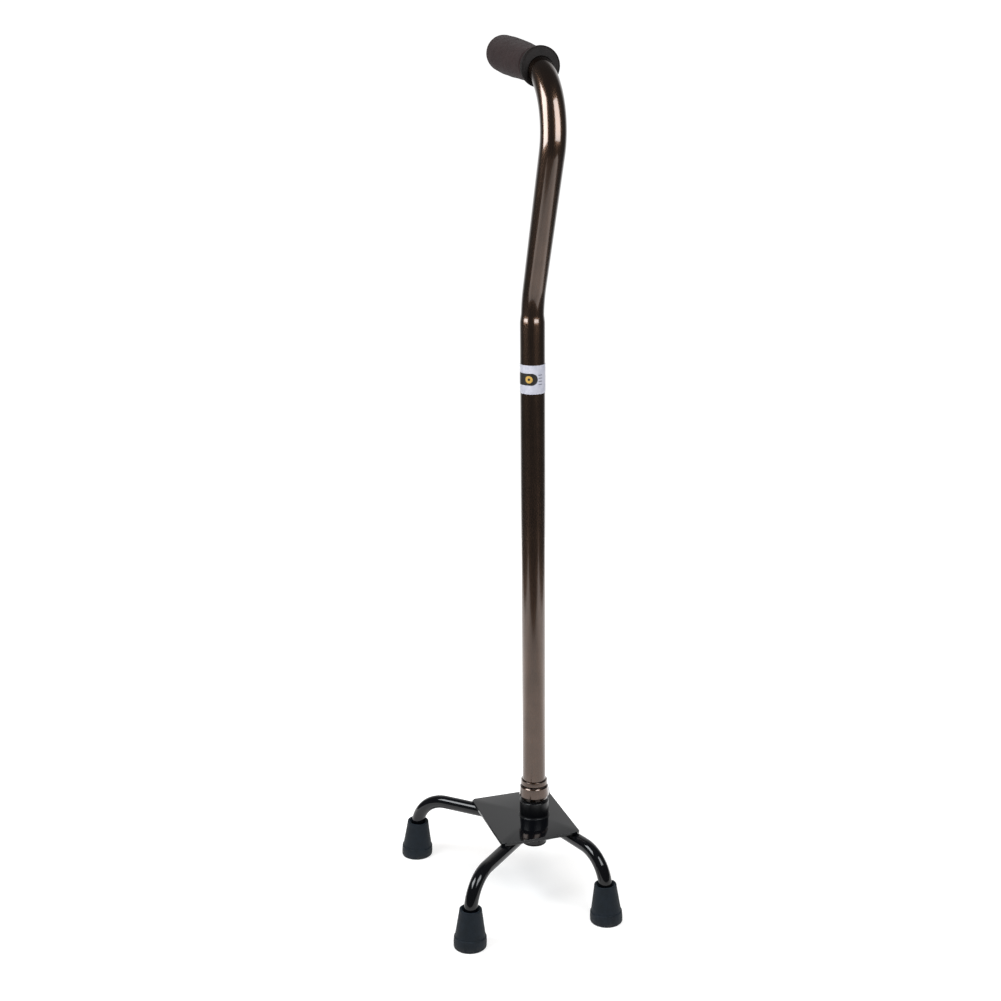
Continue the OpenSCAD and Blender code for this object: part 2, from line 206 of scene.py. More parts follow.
def rounded(outline, closed, steps=5):
    """An outline of (radius, height, fillet) points with an arc at each point that has a fillet."""
    points = []
    count = len(outline)
    for i, corner in enumerate(outline):
        r, z, fillet = corner if len(corner) == 3 else (*corner, 0)
        here = Vector((r, z))
        if not fillet or (not closed and i in (0, count - 1)):
            points.append(here)
            continue
        before = Vector(outline[i - 1][:2]) - here
        after = Vector(outline[(i + 1) % count][:2]) - here
        half = before.angle(after) / 2
        cut = min(fillet / math.tan(half), before.length * 0.49, after.length * 0.49)
        start = here + before.normalized() * cut
        end = here + after.normalized() * cut
        for k in range(steps + 1):
            t = k / steps
            points.append(start * (1 - t) ** 2 + here * 2 * t * (1 - t) + end * t**2)
    return [(p.x, p.y) for p in points]


def circle(count=SEGMENTS):
    for j in range(count):
        a = 2 * math.pi * j / count
        yield math.cos(a), math.sin(a)


def turned(name, outline, place=None, closed=True, segments=SEGMENTS, change=None):
    """A solid turned about Z, then moved by the matrix place. change alters each point."""
    rows = []
    for r, z in outline:
        if r < 1e-6:
            rows.append([Vector((0, 0, z))])
        else:
            rows.append([Vector((r * c, r * s, z)) for c, s in circle(segments)])
    if change:
        rows = [[change(p) for p in row] for row in rows]
    if place is not None:
        rows = [[place @ p for p in row] for row in rows]
    return skin(name, rows, closed)


class Walk:
    """A path in an upright plane, with stations of (reach, height, lean, radius, length)."""

    def __init__(self, height, radius, reach=0.0, lean=0.0):
        self.reach, self.height, self.lean, self.radius, self.length = reach, height, lean, radius, 0.0
        self.stations = []
        self.mark()

    def mark(self):
        self.stations.append((self.reach, self.height, self.lean, self.radius, self.length))

    def straight(self, distance, steps=1):
        for _ in range(steps):
            self.reach += distance / steps * math.sin(self.lean)
            self.height += distance / steps * math.cos(self.lean)
            self.length += distance / steps
            self.mark()
        return self

    def bend(self, radius, angle, steps=24):
        """Turns by angle, towards more reach if it is positive."""
        turn = math.radians(angle) / steps
        step = abs(2 * radius * math.sin(turn / 2))
        for _ in range(steps):
            middle = self.lean + turn / 2
            self.reach += step * math.sin(middle)
            self.height += step * math.cos(middle)
            self.length += abs(radius * turn)
            self.lean += turn
            self.mark()
        return self


def ring_at(station, heading, origin, inset=0.0, segments=SEGMENTS):
    """The ring of points round one station; its first point is on the side away from the heading."""
    reach, height, lean, radius, _ = station
    ahead = Vector((math.cos(heading), math.sin(heading), 0))
    side = Vector((-math.sin(heading), math.cos(heading), 0))
    across = ahead * math.cos(lean) - Vector((0, 0, math.sin(lean)))
    centre = Vector(origin) + ahead * reach + Vector((0, 0, height))
    r = radius - inset
    return [centre - across * (r * c) + side * (r * s) for c, s in circle(segments)]


def pipe(name, stations, heading, origin, wall, segments=SEGMENTS):
    """A tube with a wall and open, rounded ends along the stations."""
    edge = wall * 0.25
    first, last = stations[0], stations[-1]
    outer = [ring_at(s, heading, origin, 0, segments) for s in stations]
    inner = [ring_at(s, heading, origin, wall, segments) for s in reversed(stations)]
    rows = [*outer, *lip(last, heading, origin, edge, wall, 1, segments), *inner]
    rows += lip(first, heading, origin, edge, wall, -1, segments)
    return skin(name, rows, True)


def lip(station, heading, origin, edge, wall, way, segments):
    """Two rings that round the end of a tube's wall."""
    reach, height, lean, radius, length = station
    step = way * edge
    end = (reach + step * math.sin(lean), height + step * math.cos(lean), lean, radius, length)
    insets = (edge, wall - edge) if way > 0 else (wall - edge, edge)
    return [ring_at(end, heading, origin, inset, segments) for inset in insets]


# ------------------------------------------------------------------ shader tools


class Nodes:
    """A node tree, with short calls to add and join its nodes."""

    def __init__(self, tree):
        self.tree = tree

    def add(self, kind, inputs=None, **settings):
        node = self.tree.nodes.new("ShaderNode" + kind)
        for key, value in settings.items():
            setattr(node, key, value)
        for key, value in (inputs or {}).items():
            self.put(node.inputs[key], value)
        return node

    def put(self, socket, value):
        """Sets a socket to a value, or joins another socket to it."""
        if isinstance(value, bpy.types.NodeSocket):
            self.tree.links.new(value, socket)
        else:
            socket.default_value = value

    def math(self, operation, a, b=0.0, c=0.0, clamp=False):
        node = self.add("Math", operation=operation, use_clamp=clamp)
        for socket, value in zip(node.inputs, (a, b, c)):
            self.put(socket, value)
        return node.outputs[0]

    def ramp(self, value, low, high, out_low=0.0, out_high=1.0):
        """value spread from low..high to out_low..out_high, smooth at both ends."""
        node = self.add("MapRange", interpolation_type="SMOOTHSTEP")
        names = ("Value", "From Min", "From Max", "To Min", "To Max")
        for key, number in zip(names, (value, low, high, out_low, out_high)):
            self.put(node.inputs[key], number)
        return node.outputs["Result"]


class Paint(Nodes):
    """A material of one principled shader."""

    def __init__(self, name):
        self.material = bpy.data.materials.new(name)
        self.material.use_nodes = True
        super().__init__(self.material.node_tree)
        self.shader = self.tree.nodes["Principled BSDF"]

    def set(self, **values):
        """Sets the shader's sockets; an underscore in a name stands for a space."""
        for key, value in values.items():
            self.put(self.shader.inputs[key.replace("_", " ")], value)

    def mix(self, factor, a, b):
        node = self.add("Mix", data_type="RGBA")
        for socket, value in zip((node.inputs[0], node.inputs[6], node.inputs[7]), (factor, a, b)):
            self.put(socket, value)
        return node.outputs[2]

    def place(self):
        """The object's own coordinates, in metres."""
        return self.add("TexCoord").outputs["Object"]

    def along(self, radius, stretch):
        """Coordinates wrapped round a turned or swept piece and stretched along it."""
        uv = self.add("SeparateXYZ", {"Vector": self.add("UVMap", uv_map="UVMap").outputs[0]})
        angle = self.math("MULTIPLY", uv.outputs["X"], 2 * math.pi)
        x = self.math("MULTIPLY", self.math("COSINE", angle), radius)
        y = self.math("MULTIPLY", self.math("SINE", angle), radius)
        z = self.math("DIVIDE", uv.outputs["Y"], stretch)
        return self.add("CombineXYZ", {"X": x, "Y": y, "Z": z}).outputs[0]

    def noise(self, vector, size, detail=3.0, roughness=0.5):
        """Noise with blobs of about this size, in metres."""
        inputs = {"Vector": vector, "Scale": 1 / size, "Detail": detail, "Roughness": roughness}
        return self.add("TexNoise", inputs).outputs[0]

    def cells(self, vector, size):
        node = self.add("TexVoronoi", {"Vector": vector, "Scale": 1 / size})
        return node.outputs["Distance"]

    def bump(self, height, depth, below=None):
        """A bump of this depth, in metres, for a height from 0 to 1."""
        inputs = {"Height": height, "Distance": depth, "Strength": 1.0}
        if below is not None:
            inputs["Normal"] = below
        return self.add("Bump", inputs).outputs[0]


def colour(r, g, b):
    """A colour given in sRGB from 0 to 255."""
    def linear(v):
        v /= 255
        return v / 12.92 if v <= 0.04045 else ((v + 0.055) / 1.055) ** 2.4
    return (linear(r), linear(g), linear(b), 1.0)


# ------------------------------------------------------------------ materials


def bronze_anodised():
    """Drawn tube, anodised dark bronze: faint draw lines along it and a few fine scuffs."""
    p = Paint("bronze_anodised")
    drawn = p.along(TUBE_R * MM, 40)
    lines = p.noise(drawn, 0.0006, 4)
    cloud = p.noise(p.place(), 0.02, 3)
    scuffs = p.ramp(p.noise(p.along(TUBE_R * MM, 6), 0.0009, 5, 0.7), 0.66, 0.74)
    tone = p.mix(p.ramp(cloud, 0.35, 0.65), colour(70, 51, 38), colour(77, 57, 44))
    p.set(Base_Color=p.mix(p.math("MULTIPLY", scuffs, 0.2), tone, colour(112, 96, 84)))
    p.set(Metallic=1.0, Coat_Weight=1.0, Coat_Roughness=0.11, Coat_IOR=1.6)
    rough = p.ramp(lines, 0.35, 0.65, 0.24, 0.28)
    p.set(Roughness=p.math("ADD", rough, p.math("MULTIPLY", scuffs, 0.06)))
    p.set(Normal=p.bump(lines, 0.0000004))
    return p.material


def bare_aluminium():
    p = Paint("bare_aluminium")
    lines = p.noise(p.along(INNER_R * MM, 60), 0.0005, 4)
    cloud = p.noise(p.place(), 0.012, 3)
    tone = p.mix(p.ramp(cloud, 0.3, 0.7), colour(176, 177, 181), colour(158, 159, 164))
    p.set(Base_Color=tone, Metallic=1.0)
    p.set(Roughness=p.ramp(lines, 0.3, 0.7, 0.26, 0.38), Normal=p.bump(lines, 0.000002))
    return p.material


def black_enamel(name, roughness):
    """Black powder coat: a slight orange peel, fine dust and a few dull rubs."""
    p = Paint(name)
    place = p.place()
    peel = p.noise(place, 0.0022, 2)
    rubs = p.ramp(p.noise(place, 0.011, 6, 0.72), 0.6, 0.72)
    dust = p.ramp(p.noise(place, 0.0005, 2), 0.68, 0.75)
    tone = p.mix(p.math("MULTIPLY", dust, 0.25), colour(7, 8, 11), colour(46, 46, 48))
    p.set(Base_Color=tone, IOR=1.43)
    p.set(Roughness=p.math("ADD", p.math("MULTIPLY", rubs, 0.07), roughness))
    p.set(Normal=p.bump(peel, 0.000004))
    return p.material


def zinc_steel():
    p = Paint("zinc_steel")
    place = p.place()
    grain = p.noise(place, 0.0012, 4)
    tone = p.mix(p.ramp(grain, 0.3, 0.7), colour(176, 178, 182), colour(205, 207, 210))
    p.set(Base_Color=tone, Metallic=1.0)
    p.set(Roughness=p.ramp(grain, 0.3, 0.7, 0.24, 0.4), Normal=p.bump(grain, 0.000008))
    return p.material


def moulded(name, dark, light, grain, depth, low, high):
    """Moulded rubber or plastic with a fine skin texture, and scuffs that catch the light.

    grain and depth are the size and height of the skin's bumps; low and high are its roughness.
    """
    p = Paint(name)
    place = p.place()
    skin_grain = p.noise(place, grain, 4, 0.6)
    cloud = p.noise(place, 0.008, 4)
    scuffs = p.ramp(p.noise(place, 0.003, 8, 0.8), 0.62, 0.7)
    tone = p.mix(p.ramp(cloud, 0.3, 0.7), dark, light)
    p.set(Base_Color=p.mix(p.math("MULTIPLY", scuffs, 0.3), tone, colour(52, 55, 57)))
    p.set(Roughness=p.ramp(skin_grain, 0.3, 0.7, low, high), Normal=p.bump(skin_grain, depth))
    p.set(Specular_IOR_Level=0.2)
    return p


def black_plastic():
    p = moulded("black_plastic", colour(10, 10, 10), colour(15, 15, 15), 0.0006, 0.00002, 0.4, 0.55)
    return p.material


def flange_rubber():
    p = moulded("flange_rubber", colour(14, 11, 10), colour(19, 15, 14), 0.0008, 0.00003, 0.5, 0.66)
    p.set(Specular_IOR_Level=0.1)
    return p.material


def tip_rubber():
    """Slate-black rubber, dusty towards the floor."""
    p = moulded("tip_rubber", colour(17, 24, 30), colour(21, 29, 37), 0.0009, 0.00004, 0.52, 0.7)
    height = p.add("SeparateXYZ", {"Vector": p.place()}).outputs["Z"]
    low = p.ramp(height, 0.001, 0.007, 1.0, 0.0)
    patches = p.ramp(p.noise(p.place(), 0.004, 6, 0.7), 0.42, 0.62)
    tone = p.shader.inputs["Base Color"].links[0].from_socket
    dust = p.math("MULTIPLY", p.math("MULTIPLY", low, patches), 0.35)
    p.set(Base_Color=p.mix(dust, tone, colour(66, 65, 61)))
    return p.material


def grip_foam():
    """Closed-cell foam: fine open pores in a soft, rough skin, with painted shade darkening its pores
    and pits.
    """
    p = Paint("grip_foam")
    place = p.place()
    fine = p.cells(place, 0.00055)
    coarse = p.cells(place, 0.0013)
    pore_dips_and_shade = p.ramp(fine, 0.05, 0.45)
    pit_dips_and_shade = p.ramp(coarse, 0.08, 0.3)
    cloud = p.noise(place, 0.014, 5, 0.6)
    tone = p.mix(p.ramp(cloud, 0.3, 0.7), colour(27, 18, 18), colour(34, 24, 24))
    # Painted shade: the pits and pores are painted darker in their hollows, over their real bumped
    # dips.
    tone = p.mix(p.ramp(pit_dips_and_shade, 0.0, 1.0, 0.55, 0.0), tone, colour(15, 9, 9))
    p.set(Base_Color=p.mix(p.ramp(pore_dips_and_shade, 0.0, 1.0, 0.4, 0.0), tone, colour(17, 11, 11)))
    p.set(Roughness=0.95, Specular_IOR_Level=0.08, Sheen_Weight=0.05, Sheen_Roughness=0.5)
    p.set(Normal=p.bump(pore_dips_and_shade, 0.00012, p.bump(pit_dips_and_shade, 0.0002, p.bump(cloud, 0.0004))))
    return p.material


def nylon():
    p = Paint("nylon")
    cloud = p.noise(p.place(), 0.004, 4)
    p.set(Base_Color=p.mix(p.ramp(cloud, 0.3, 0.7), colour(214, 210, 198), colour(228, 225, 214)))
    p.set(Roughness=p.ramp(cloud, 0.3, 0.7, 0.38, 0.5), Subsurface_Weight=0.1)
    p.set(Normal=p.bump(cloud, 0.00002))
    return p.material


def label_film():
    """White film with a plain dark bar, an amber dot and a few grey strokes."""
    p = Paint("label")
    where = p.add("SeparateXYZ", {"Vector": p.place()})
    y = p.math("SUBTRACT", where.outputs["Y"], SHAFT_Y * MM)
    angle = p.math("ARCTAN2", y, where.outputs["X"])
    arc = p.math("MULTIPLY", p.math("SUBTRACT", angle, math.radians(LABEL_MARK_ANGLE)), TUBE_R)
    middle = (label_low.z + label_high.z) / 2 * MM
    rise = p.math("DIVIDE", p.math("SUBTRACT", where.outputs["Z"], middle), MM)

    def bar(centre, half_length, height, radius):
        """1 inside a bar with round ends, 0 outside."""
        beyond = p.math("SUBTRACT", p.math("ABSOLUTE", p.math("SUBTRACT", arc, centre)), half_length)
        beyond = p.math("MAXIMUM", beyond, 0.0)
        up = p.math("SUBTRACT", rise, height)
        squares = p.math("ADD", p.math("MULTIPLY", beyond, beyond), p.math("MULTIPLY", up, up))
        return p.ramp(p.math("SQRT", squares), radius - LABEL_BLUR, radius + LABEL_BLUR, 1.0, 0.0)

    cloud = p.ramp(p.noise(p.place(), 0.004, 3), 0.3, 0.7)
    paper = p.mix(cloud, colour(168, 167, 176), colour(158, 158, 169))
    tone = p.mix(bar(-6.5, 9.0, LABEL_MARK_RISE, 5.4), paper, colour(28, 26, 24))
    tone = p.mix(bar(0.0, 0.0, LABEL_MARK_RISE, 3.3), tone, colour(168, 134, 66))
    tone = p.mix(bar(0.0, 0.0, LABEL_MARK_RISE, 1.2), tone, colour(40, 34, 28))
    for height in (-4.2, -1.4, 1.4, 4.2):
        tone = p.mix(bar(10.5, 1.6, height, 0.4), tone, colour(84, 84, 92))
    p.set(Base_Color=tone, Roughness=0.32, Coat_Weight=0.25, Coat_Roughness=0.15)
    p.set(Normal=p.bump(p.noise(p.place(), 0.006, 2), 0.00003))
    return p.material


def floor_paper():
    """White studio paper that glows as painted light, more and more towards its sides and its back."""
    p = Paint("floor_paper")
    tooth = p.noise(p.place(), 0.003, 4)
    p.set(Base_Color=p.mix(p.ramp(tooth, 0.3, 0.7), colour(192, 192, 192), colour(196, 196, 196)))
    p.set(Roughness=0.85, Specular_IOR_Level=0.15, Normal=p.bump(tooth, 0.00005))
    heart = (Vector((0, SHAFT_Y, 0)) + TO_CAMERA * PAPER_HEART) * MM
    away = p.add("VectorMath", {0: p.place(), 1: heart}, operation="DISTANCE").outputs["Value"]
    # Painted light: an emission glow on the paper, weakest in front of the shaft.
    glow = p.ramp(away, GLOW_FROM * MM, GLOW_TO * MM, 0.55, 1.15)
    p.set(Emission_Color=(1, 1, 1, 1), Emission_Strength=glow)
    return p.material


MATERIALS = {
    "bronze_anodised": bronze_anodised(),
    "bare_aluminium": bare_aluminium(),
    "black_enamel": black_enamel("black_enamel", 0.08),
    "zinc_steel": zinc_steel(),
    "black_plastic": black_plastic(),
    "flange_rubber": flange_rubber(),
    "grip_foam": grip_foam(),
    "tip_rubber": tip_rubber(),
    "nylon": nylon(),
    "label": label_film(),
}


# The same enamel where it is sprayed thickly over a weld, and less glossy
SATIN_ENAMEL = black_enamel("satin_enamel", 0.3)


def fit(obj, slot, body, *nodes, material=None):
    """Gives a piece its material and its body, and hides the CAD nodes that it stands for."""
    obj.data.materials.clear()
    obj.data.materials.append(material or MATERIALS[slot])
    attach(obj, body)
    if nodes:
        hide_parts(*nodes)
    return obj


# ------------------------------------------------------------------ handle

# Grid round a hole: cells from its middle to its edge, cells that blend into the tube, and their sizes
HOLE_CELLS = 4
HOLE_BLEND = 3
HOLE_CELL = 0.72
HOLE_RING = 0.62


def square_angle(i, j):
    """The angle on a circle of a point (i up, j across) on a square ring, evenly spread."""
    if abs(j) >= abs(i):
        return math.pi / 4 * (i / j) + (math.pi if j < 0 else 0)
    return math.pi / 2 - math.pi / 4 * (j / i) + (math.pi if i < 0 else 0)


def square_ring(size):
    """The points (i, j) of a square ring, in order."""
    side = range(-size, size)
    ring = [(-size, j) for j in side] + [(i, size) for i in side]
    return ring + [(size, -j) for j in side] + [(-i, -size) for i in side]


def open_hole(rows, middle, step, radius):
    """Draws the grid round a hole, on the first column's side, into a circle.

    Row middle + i * step is i cells up from the hole's middle.
    """
    centre = sum(rows[middle], Vector()) / SEGMENTS
    shaft_r = (rows[middle][0] - centre).length
    reach = HOLE_CELLS + HOLE_BLEND
    for size in range(HOLE_CELLS, reach):
        square = (size - HOLE_CELLS) / HOLE_BLEND
        ring_r = radius + (size - HOLE_CELLS) * HOLE_RING
        for i, j in square_ring(size):
            row = rows[middle + i * step]
            turn = square_angle(i, j)
            point = row[j % SEGMENTS]
            across = (point.y - centre.y) * square + ring_r * math.cos(turn) * (1 - square)
            up = (point.z - centre.z) * square + ring_r * math.sin(turn) * (1 - square)
            back = shaft_r * math.cos(math.asin(across / shaft_r))
            row[j % SEGMENTS] = centre + Vector((-back, across, up))


def drilled_pipe(name, stations, wall, hole_heights, hole_r):
    """An upright tube on the shaft, with a wall and with round holes on its rear side."""
    origin = (0, SHAFT_Y, 0)
    edge = wall * 0.25
    outer = [ring_at(s, 0, origin) for s in stations]
    inner = [ring_at(s, 0, origin, wall) for s in reversed(stations)]
    top = lip(stations[-1], 0, origin, edge, wall, 1, SEGMENTS)
    bottom = lip(stations[0], 0, origin, edge, wall, -1, SEGMENTS)
    last = 2 * len(stations) + len(top) - 1
    skipped, walls = set(), []
    cells = range(-HOLE_CELLS, HOLE_CELLS)
    for height in hole_heights:
        k = min(range(len(stations)), key=lambda n: abs(stations[n][1] - height))
        open_hole(outer, k, 1, hole_r)
        open_hole(inner, len(stations) - 1 - k, -1, hole_r)
        for i in cells:
            for j in cells:
                skipped.add((k + i, j % SEGMENTS))
                skipped.add((last - k - i - 1, j % SEGMENTS))
        ring = square_ring(HOLE_CELLS)
        for (i, j), (m, n) in zip(ring, ring[1:] + ring[:1]):
            a, b = j % SEGMENTS, n % SEGMENTS
            walls.append(((k + i, a), (k + m, b), (last - k - m, b), (last - k - i, a)))
    return skin(name, [*outer, *top, *inner, *bottom], True, skipped=skipped, walls=walls)


def clamped(t):
    return max(0.0, min(1.0, t))


def smooth(t):
    """0 to 1 along an S-shaped curve."""
    return (1 - math.cos(math.pi * clamped(t))) / 2


def handle_walk():
    """The handle tube's path, which station ends its upper bend, and the heights of its holes."""
    walk = Walk(tube_low.z + WALL * 0.25, TUBE_R)
    holes = [BUTTON_Z - i * HOLE_PITCH for i in reversed(range(HOLE_COUNT))]
    for hole in holes:
        for i in range(-HOLE_CELLS - HOLE_BLEND, HOLE_CELLS + HOLE_BLEND + 1):
            walk.straight(hole + i * HOLE_CELL - walk.height)
    walk.straight(LOWER_START - SWAGE_LEAD - walk.height, steps=6)
    swage_start = walk.length
    walk.straight(SWAGE_LEAD, steps=4)
    walk.bend(LOWER_BEND, NECK_LEAN, steps=40)
    neck_start = walk.length
    walk.straight(NECK_RUN, steps=16)
    neck_end = walk.length
    walk.bend(UPPER_BEND, -UPPER_TURN, steps=56)
    bend_end = len(walk.stations) - 1
    walk.straight(GRIP_TUBE - WALL * 0.25, steps=4)

    def radius_at(length):
        """Drawn in by an S-shaped swage where the neck starts, and back to full size at its top."""
        inward = smooth((length - swage_start) / SWAGE)
        outward = clamped((length - neck_start) / (neck_end - neck_start))
        return TUBE_R - (TUBE_R - NECK_R) * (inward - outward)

    walk.stations = [(*s[:3], radius_at(s[4]), s[4]) for s in walk.stations]
    return walk, bend_end, holes


HANDLE, BEND_END, HOLES = handle_walk()


def grip_place():
    """The end of the upper bend: +Z runs along the grip, and +X points to the bend's outer side."""
    reach, height, lean, _, _ = HANDLE.stations[BEND_END]
    out = Vector((math.cos(lean), 0, -math.sin(lean)))
    along = Vector((math.sin(lean), 0, math.cos(lean)))
    turn = Matrix((out, along.cross(out), along)).transposed().to_4x4()
    return Matrix.Translation((reach, SHAFT_Y, height)) @ turn


GRIP = grip_place()


def follow_bend(p):
    """Shifts points near a bore about Z so that the bore follows the bent tube.

    Points up to BORE_NEAR outside the tube follow it wholly, and those past BORE_FAR not at all.
    """
    if p.z >= 0:
        return p
    share = clamped((TUBE_R + BORE_FAR - math.hypot(p.x, p.y)) / (BORE_FAR - BORE_NEAR))
    sag = UPPER_BEND - math.sqrt(UPPER_BEND**2 - p.z**2)
    slant = UPPER_BEND / math.sqrt(UPPER_BEND**2 - p.z**2)
    return Vector((p.x * (1 + (slant - 1) * share) - sag * share, p.y, p.z))


def make_handle_tube():
    tube = drilled_pipe("handle_tube_drawn", HANDLE.stations, WALL, HOLES, HOLE_R)
    fit(tube, "bronze_anodised", "handle", "handle_tube")


def make_foam_grip():
    """Soft foam sleeve with a waist, a shoulder and a round free end."""
    end = FOAM_START + FOAM_LEN
    nose_r = FOAM_R - 0.6
    nose = end - nose_r
    bore = TUBE_R + FOAM_GAP
    bottom = GRIP_TUBE + FOAM_BACKED
    outline = [(r, FOAM_START + along, fillet) for r, along, fillet in FOAM_LINE]
    outline = rounded([(bore, FOAM_START, 0), *outline, (nose_r, nose, 0)], False, 8)
    skin_line = evenly(outline, 1.2) + [
        (nose_r * math.cos(a), nose + nose_r * math.sin(a)) for a in quarter(24)
    ]
    bore_line = [(0, bottom), (bore - 1, bottom), (bore, bottom - 1), (bore, 20), (bore, 0), (bore, -6)]

    def lumpy(p):
        """Soft unevenness of the moulded skin."""
        if math.hypot(p.x, p.y) < bore + 0.3 and p.z < FOAM_START + 1:
            return follow_bend(p)
        away = Vector((p.x, p.y, max(0.0, p.z - nose))).normalized()
        swell = noise.noise(p * 0.055) * 0.3 + noise.noise(p * 0.21 + Vector((9, 3, 5))) * 0.12
        return p + away * (swell + noise.noise(p * 1.1) * 0.05)

    def ring(r, z, change):
        if r < 0.001:
            return [GRIP @ Vector((0, 0, z))]
        return [GRIP @ change(Vector((r * c, r * s, z))) for c, s in circle(128)]

    rows = [ring(r, z, lumpy) for r, z in skin_line] + [ring(r, z, follow_bend) for r, z in bore_line]
    foam = skin("foam_grip_soft", rows, True)
    fit(foam, "grip_foam", "handle", "foam_grip")


def quarter(count):
    """Angles from 0 to a right angle, without the first."""
    return [math.pi / 2 * k / count for k in range(1, count + 1)]


def evenly(line, gap):
    """The same outline with extra points, so that none are further apart than gap."""
    points = [line[0]]
    for (r0, z0), (r1, z1) in zip(line, line[1:]):
        parts = max(1, math.ceil(math.hypot(r1 - r0, z1 - z0) / gap))
        for k in range(1, parts + 1):
            points.append((r0 + (r1 - r0) * k / parts, z0 + (z1 - z0) * k / parts))
    return points


def make_grip_flange():
    """Rubber ring that the tube passes through on a slant."""
    bore = TUBE_R + FOAM_GAP
    back = -FLANGE_FRONT + FLANGE_T
    outline = rounded([
        (bore, -FLANGE_FRONT, 0.3), (FLANGE_R - 1.7, -FLANGE_FRONT, 0.8),
        (FLANGE_R, -FLANGE_FRONT + 0.9, 1.2), (FLANGE_R, back, 1.4), (bore, back, 0.3),
    ], True)
    flange = turned("grip_flange_ring", outline, GRIP, change=follow_bend)
    fit(flange, "flange_rubber", "handle", "grip_flange")


def make_label():
    """Thin wrap of film whose two ends nearly meet at the rear."""
    inner, outer = TUBE_R + LABEL_INNER, TUBE_R + LABEL_OUTER
    low, high = label_low.z, label_high.z
    slit = math.radians(LABEL_SLIT)
    heights = [low + (high - low) * k / 8 for k in range(9)]
    section = [(inner, z) for z in heights] + [(outer, z) for z in reversed(heights)]
    rows = []
    for k in range(SEGMENTS + 1):
        a = math.pi + slit + (2 * math.pi - 2 * slit) * k / SEGMENTS
        rows.append([Vector((r * math.cos(a), SHAFT_Y + r * math.sin(a), z)) for r, z in section])
    middles = [[sum(row, Vector()) / len(row)] for row in (rows[0], rows[-1])]
    label = skin("label_film_wrap", [middles[0], *rows, middles[1]], False)
    fit(label, "label", "handle", "label_band")


def on_shaft():
    return Matrix.Translation((0, SHAFT_Y, 0))


def make_collar():
    """Collar ring pressed on the tube, with a groove over the tapered lock nut."""
    top, low = ring_high.z, nut_high.z + 0.4
    ring = rounded([
        (TUBE_R, ring_low.z, 0), (TUBE_R + 0.9, ring_low.z, 0.3), (TUBE_R + 0.9, low, 0),
        (RING_R - 1.3, low, 0.2), (RING_R, low + 1.5, 0.5), (RING_R - 0.5, top, 0.8), (TUBE_R, top, 0),
    ], True)
    fit(turned("collar_ring_turned", ring, on_shaft()), "bronze_anodised", "handle", "collar_ring")
    lip_r = INNER_R + 0.5
    bottom, top = nut_low.z, nut_high.z
    nut = rounded([
        (lip_r, bottom, 0.3), (NUT_R - 1.6, bottom, 0.5), (NUT_R - 1.3, bottom + 2.0, 0.3),
        (NUT_R, bottom + 3.2, 0.5), (NUT_R - 0.8, top - 0.9, 0.5), (NUT_R - 1.7, top, 0.3),
        (TUBE_R + 1.1, top, 0.2), (TUBE_R + 1.1, bottom + 1.6, 0), (lip_r, bottom + 1.6, 0),
    ], True)
    fit(turned("lock_nut_turned", nut, on_shaft()), "bronze_anodised", "nut", "lock_nut")


def make_snap_button():
    """Steel pin with a domed end on a flat head, pointing to the rear."""
    reach, head = -button_low.x, -button_high.x
    outline = rounded([
        (0, head), (4.2, head, 0.2), (4.2, head + 1, 0.2), (3.1, head + 1, 0.2),
        (3.1, reach - 1.3, 1.2), (1.8, reach - 0.25, 1.2), (0, reach),
    ], False)
    place = Matrix.Translation((0, SHAFT_Y, BUTTON_Z)) @ Matrix.Rotation(-math.pi / 2, 4, "Y")
    pin = turned("snap_button_pin", outline, place, closed=False, segments=48)
    fit(pin, "zinc_steel", "button", "snap_button")


def make_inner_tube():
    walk = Walk(inner_low.z + WALL * 0.25, INNER_R)
    for i in range(-HOLE_CELLS - HOLE_BLEND, HOLE_CELLS + HOLE_BLEND + 1):
        walk.straight(BUTTON_Z + i * HOLE_CELL - walk.height)
    walk.straight(inner_high.z - WALL * 0.25 - walk.height)
    tube = drilled_pipe("inner_tube_drawn", walk.stations, WALL, [BUTTON_Z], BUTTON_HOLE_R)
    fit(tube, "bare_aluminium", "base", "inner_tube")


# ------------------------------------------------------------------ base


def plate_ring(inset, z):
    """The plate's outline drawn in by inset, with cut corners and the same points at each inset."""
    cut = PLATE_CUT - inset * (2 - math.sqrt(2))
    x0, x1 = plate_low.x + inset, plate_high.x - inset
    y0, y1 = plate_low.y + inset, plate_high.y - inset
    corners = [
        (x1, y0 + cut), (x1, y1 - cut), (x1 - cut, y1), (x0 + cut, y1),
        (x0, y1 - cut), (x0, y0 + cut), (x0 + cut, y0), (x1 - cut, y0),
    ]
    points = []
    for n, (a, b) in enumerate(zip(corners, corners[1:] + corners[:1])):
        parts = 24 if n % 2 == 0 else 4
        points += [Vector((*(Vector(a).lerp(Vector(b), k / parts)), z)) for k in range(parts)]
    return points


def plate_bore(z):
    """The hole for the socket, with a point for each point of the outline."""
    centre = Vector((0, SHAFT_Y))
    ring = []
    for p in plate_ring(0, z):
        way = (p.xy - centre).normalized() * (SOCKET_R + 0.02)
        ring.append(Vector((way.x, SHAFT_Y + way.y, z)))
    return ring


def make_plate():
    top, low = plate_high.z, plate_low.z
    edge = PLATE_EDGE
    arc = [0] + quarter(4)
    rows = [plate_bore(low)]
    rows += [plate_ring(edge - edge * math.sin(a), low + edge - edge * math.cos(a)) for a in arc]
    rows += [plate_ring(edge - edge * math.cos(a), top - edge + edge * math.sin(a)) for a in arc]
    rows += [plate_bore(top)]
    fit(skin("base_plate_pressed", rows, True), "black_enamel", "base", "base_plate")


